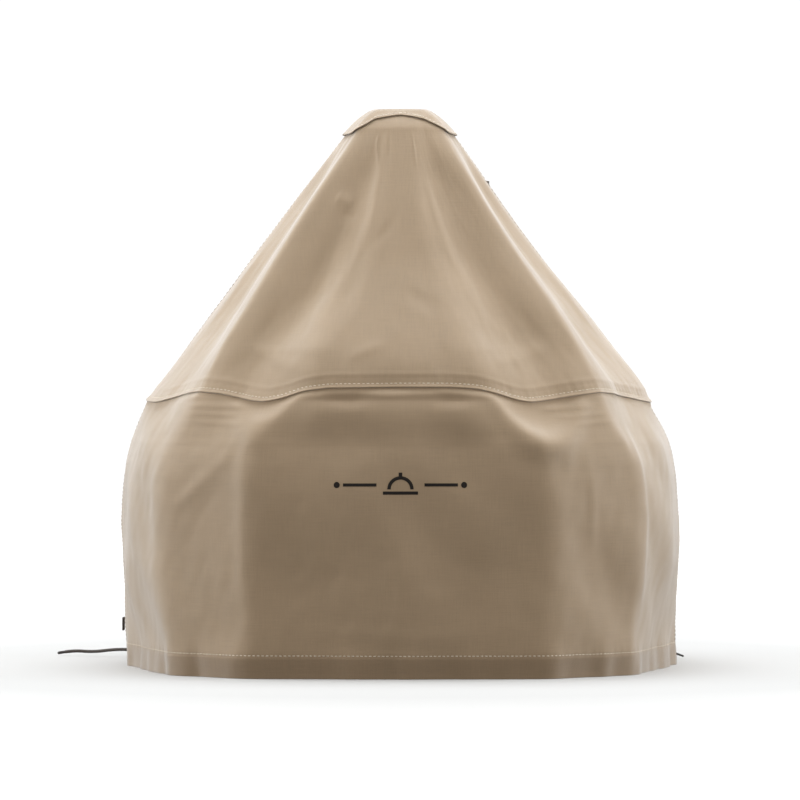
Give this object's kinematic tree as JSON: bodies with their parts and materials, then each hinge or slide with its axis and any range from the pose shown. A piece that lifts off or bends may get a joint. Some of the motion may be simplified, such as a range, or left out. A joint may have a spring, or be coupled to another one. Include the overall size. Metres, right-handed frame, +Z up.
{
  "type": "grill cover",
  "caption": "Fitted weather cover for a domed outdoor oven: tapering cone with a flue cap, rounded skirt and a drawcord hem with a spring cord lock.",
  "frame": {"origin": "centre of the footprint, at the level of the hem's lower edge", "axes": "+Z up; the front with the printed mark faces -Y; the long cord tail leaves on the -X side"},
  "size_m": [0.8508, 0.69, 0.733],
  "materials": {
    "canvas": "woven, coated",
    "binding": "woven tape",
    "thread": "spun thread",
    "eyelet_metal": "satin",
    "cord": "braided",
    "cord_tip": "heat sealed",
    "lock_plastic": "moulded",
    "spring_steel": "drawn wire",
    "webbing": "woven webbing",
    "label": "satin weave"
  },
  "bodies": {
    "cover": {"top_cap": "canvas", "cone_front": "canvas", "cone_back": "canvas", "skirt_front": "canvas", "skirt_back": "canvas", "cap_seam_tape": "binding", "yoke_seam_tape": "binding", "skirt_seam_tape_left": "binding", "skirt_seam_tape_right": "binding", "cone_seam_tape_left": "binding", "cone_seam_tape_right": "binding", "hem_casing_front": "canvas", "hem_casing_back": "canvas", "hem_stitching": "thread", "yoke_stitching": "thread", "cap_stitching": "thread", "cord_anchor_stitch": "thread", "eyelet_left": "eyelet_metal", "eyelet_right": "eyelet_metal", "eyelet_washer_left": "eyelet_metal", "eyelet_washer_right": "eyelet_metal", "drawcord": "cord", "cord_tail_left": "cord", "cord_tail_right": "cord", "cord_tip_left": "cord_tip", "cord_tip_right": "cord_tip", "side_loop_tab": "webbing", "hang_loop": "webbing", "care_label": "label"},
    "lock": {"lock_barrel": "lock_plastic", "lock_spring": "spring_steel"},
    "plunger": {"lock_plunger": "lock_plastic"}
  },
  "joints": [
    {"name": "lock_slide", "type": "slide", "parent": "cover", "child": "lock", "axis": [-0.9252, 0.3795, 0], "range_m": [0, 0.024]},
    {"name": "plunger_press", "type": "slide", "parent": "lock", "child": "plunger", "axis": [0, 0, -1], "range_m": [0, 0.003], "stiffness_N_per_m": 1500, "springref_m": -0.001, "deforming": ["lock_spring"]}
  ]
}
